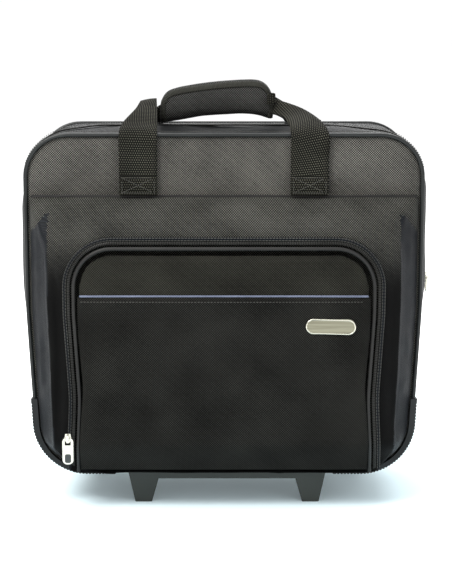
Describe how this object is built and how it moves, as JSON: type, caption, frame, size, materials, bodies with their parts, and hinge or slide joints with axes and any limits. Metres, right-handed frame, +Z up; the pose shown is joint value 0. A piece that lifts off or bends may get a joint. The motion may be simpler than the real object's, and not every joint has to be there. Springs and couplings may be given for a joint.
{
  "type": "rolling laptop case",
  "caption": "Soft-sided rolling laptop case with zipped lid and front flap pocket, padded grab handle, telescoping trolley, rear wheels and front stand.",
  "frame": {"origin": "on the floor under the middle of the case's bounding box", "axes": "+Z up, the front pocket faces -Y, the trolley and wheels are on the +Y side"},
  "size_m": [0.4217, 0.2188, 0.434],
  "materials": {
    "ballistic_nylon": "charcoal ballistic weave",
    "lining_nylon": "smooth grey lining",
    "webbing": "ribbed webbing",
    "zipper_tape": "woven tape with moulded coil",
    "piping_vinyl": "glossy vinyl cord",
    "reflective": "silver reflective cord",
    "corner_rubber": "ribbed satin rubber",
    "stand_plastic": "fine moulded texture",
    "grip_plastic": "soft touch",
    "button_plastic": "satin grey",
    "board": "pressed sheet",
    "tyre_rubber": "matte",
    "hub_plastic": "moulded",
    "steel": "zinc plated",
    "tube_black": "black anodised",
    "tube_aluminium": "satin anodised",
    "badge_metal": "satin, blank",
    "zip_nickel": "bright nickel",
    "pull_rubber": "matte"
  },
  "bodies": {
    "case": {"rear_shell": "ballistic_nylon", "main_zipper_rear": "zipper_tape", "rear_piping": "piping_vinyl", "base_board": "board", "back_board": "board", "laptop_sleeve": "lining_nylon", "laptop_strap": "webbing", "file_divider": "lining_nylon", "rear_strap": "webbing", "front_stand": "stand_plastic", "wheel_housing_left": "stand_plastic", "wheel_housing_right": "stand_plastic", "axle_left": "steel", "axle_right": "steel", "outer_tube_left": "tube_black", "outer_tube_right": "tube_black", "trolley_foot": "stand_plastic", "foot_screws": "steel", "trolley_bezel": "stand_plastic", "trolley_cover": "ballistic_nylon"},
    "lid": {"front_shell": "ballistic_nylon", "main_zipper_front": "zipper_tape", "front_piping": "piping_vinyl", "corner_guard_left": "corner_rubber", "corner_guard_right": "corner_rubber", "front_pocket": "ballistic_nylon", "pocket_zipper": "zipper_tape", "organizer_panel": "lining_nylon", "card_pockets": "lining_nylon", "pen_loops": "webbing", "front_strap": "webbing", "handle_wrap": "ballistic_nylon"},
    "pocket_flap": {"flap_panel": "ballistic_nylon", "flap_piping": "piping_vinyl", "slip_pocket": "ballistic_nylon", "reflective_piping": "reflective", "badge": "badge_metal"},
    "front_slider": {"front_slider": "zip_nickel"},
    "front_pull": {"front_pull": "zip_nickel", "front_pull_insert": "pull_rubber"},
    "side_slider": {"side_slider": "zip_nickel"},
    "side_pull": {"side_pull": "zip_nickel"},
    "left_wheel": {"tyre_left": "tyre_rubber", "hub_left": "hub_plastic", "bearings_left": "steel"},
    "right_wheel": {"tyre_right": "tyre_rubber", "hub_right": "hub_plastic", "bearings_right": "steel"},
    "middle_stage": {"mid_tube_left": "tube_aluminium", "mid_tube_right": "tube_aluminium", "tube_collars": "stand_plastic"},
    "grip": {"inner_tube_left": "tube_aluminium", "inner_tube_right": "tube_aluminium", "grip_front": "grip_plastic", "grip_rear": "grip_plastic", "grip_screws": "steel", "button_spring": "steel"},
    "release_button": {"release_button": "button_plastic", "button_yoke": "grip_plastic", "release_rods": "steel"}
  },
  "joints": [
    {"name": "lid_hinge", "type": "hinge", "parent": "case", "child": "lid", "pos_m": [0, -0.062, 0.036], "axis": [1, 0, 0], "range_deg": [0, 28]},
    {"name": "flap_hinge", "type": "hinge", "parent": "lid", "child": "pocket_flap", "pos_m": [0, -0.1, 0.041], "axis": [1, 0, 0], "range_deg": [0, 75]},
    {"name": "front_zip_slide", "type": "slide", "parent": "lid", "child": "front_slider", "axis": [0, 0, 1], "range_m": [0, 0.15]},
    {"name": "front_pull_swing", "type": "hinge", "parent": "front_slider", "child": "front_pull", "pos_m": [-0.1562, -0.1046, 0.0797], "axis": [-1, 0, 0], "range_deg": [0, 110]},
    {"name": "side_zip_slide", "type": "slide", "parent": "case", "child": "side_slider", "axis": [0, 0, 1], "range_m": [0, 0.1]},
    {"name": "side_pull_swing", "type": "hinge", "parent": "side_slider", "child": "side_pull", "pos_m": [0.2115, -0.011, 0.2317], "axis": [0, -1, 0], "range_deg": [0, 110]},
    {"name": "left_wheel_spin", "type": "hinge", "parent": "case", "child": "left_wheel", "pos_m": [-0.14, 0.077, 0.032], "axis": [1, 0, 0], "continuous": true},
    {"name": "right_wheel_spin", "type": "hinge", "parent": "case", "child": "right_wheel", "pos_m": [0.14, 0.077, 0.032], "axis": [1, 0, 0], "continuous": true},
    {"name": "trolley_lower_slide", "type": "slide", "parent": "case", "child": "middle_stage", "axis": [0, 0, 1], "range_m": [0, 0.27]},
    {"name": "trolley_upper_slide", "type": "slide", "parent": "middle_stage", "child": "grip", "axis": [0, 0, 1], "range_m": [0, 0.26]},
    {"name": "button_press", "type": "slide", "parent": "grip", "child": "release_button", "axis": [0, 0, -1], "range_m": [0, 0.0035], "stiffness_N_per_m": 900, "springref_m": -0.002, "deforming": ["button_spring"]}
  ]
}
